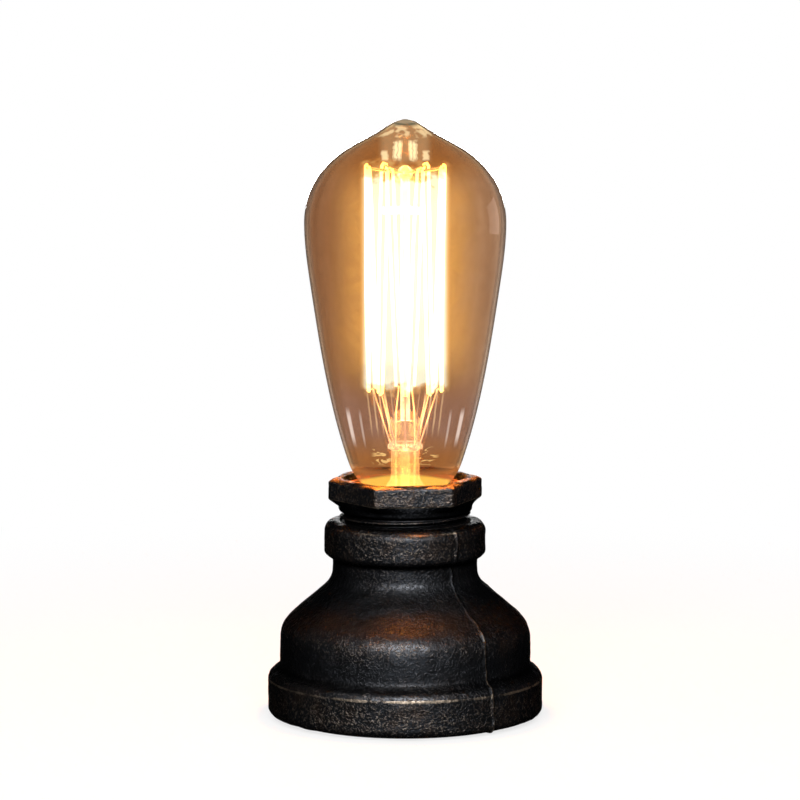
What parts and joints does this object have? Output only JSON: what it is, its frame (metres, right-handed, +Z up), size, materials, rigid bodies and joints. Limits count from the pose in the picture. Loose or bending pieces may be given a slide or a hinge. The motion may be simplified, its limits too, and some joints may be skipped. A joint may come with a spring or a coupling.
{
  "type": "industrial pipe table lamp",
  "caption": "Squat table lamp: a black iron reducing pipe socket as the foot, a hexagon bushing as the lamp holder, and a large amber pear-shaped filament bulb.",
  "frame": {"origin": "middle of the foot, on the surface that the felt pad stands on", "axes": "+Z up along the lamp's axis; the cord inlet is at the back, towards +Y"},
  "size_m": [0.088, 0.088, 0.1912],
  "materials": {
    "black_iron": "rough casting, oiled black with bronze rub",
    "felt": "dense felt",
    "rubber": "matt",
    "steel": "bright zinc",
    "brass": "plain",
    "porcelain": "white glaze",
    "brown_insulation": "smooth",
    "blue_insulation": "smooth",
    "earth_insulation": "smooth, green with yellow",
    "amber_glass": "clear amber",
    "clear_glass": "clear",
    "black_glass": "opaque",
    "cement": "matt",
    "bright_wire": "drawn",
    "glowing_filament": "glowing"
  },
  "bodies": {
    "root": {"reducing_socket": "black_iron", "cord_grommet": "rubber", "foot_pad": "felt", "base_plate": "steel", "hex_bushing": "black_iron", "holder_porcelain": "porcelain", "holder_screw_shell": "brass", "holder_centre_contact": "brass", "contact_rivets": "brass", "holder_terminals": "brass", "terminal_screws": "steel", "mounting_strap": "steel", "strap_screws": "steel", "threaded_rod": "steel", "rod_nuts": "steel", "lock_washers": "steel", "terminal_block": "porcelain", "block_tubes": "brass", "block_pole_screws": "steel", "block_fixing_screws": "steel", "earth_lug": "steel", "live_lead": "brown_insulation", "neutral_lead": "blue_insulation", "earth_lead": "earth_insulation"},
    "bulb_carrier": {"cap_eyelet": "brass"},
    "bulb": {"cap_insulator": "black_glass", "cap_shell": "brass", "cap_cement": "cement", "bulb_glass": "amber_glass", "bulb_stem": "clear_glass", "exhaust_tube": "clear_glass", "stem_rod": "clear_glass", "lead_in_wires": "bright_wire", "support_wires_upper": "bright_wire", "support_wires_lower": "bright_wire", "filament": "glowing_filament"}
  },
  "joints": [
    {"name": "bulb_lift", "type": "slide", "parent": "root", "child": "bulb_carrier", "axis": [0, 0, 1], "range_m": [0, 0.02903]},
    {"name": "bulb_turn", "type": "hinge", "parent": "bulb_carrier", "child": "bulb", "pos_m": [0, 0, 0.06], "axis": [0, 0, 1], "range_deg": [0, 2880]}
  ],
  "couplings": [
    {"joint": "bulb_lift", "follows": "bulb_turn", "m_per_rad": 0.00057757}
  ]
}
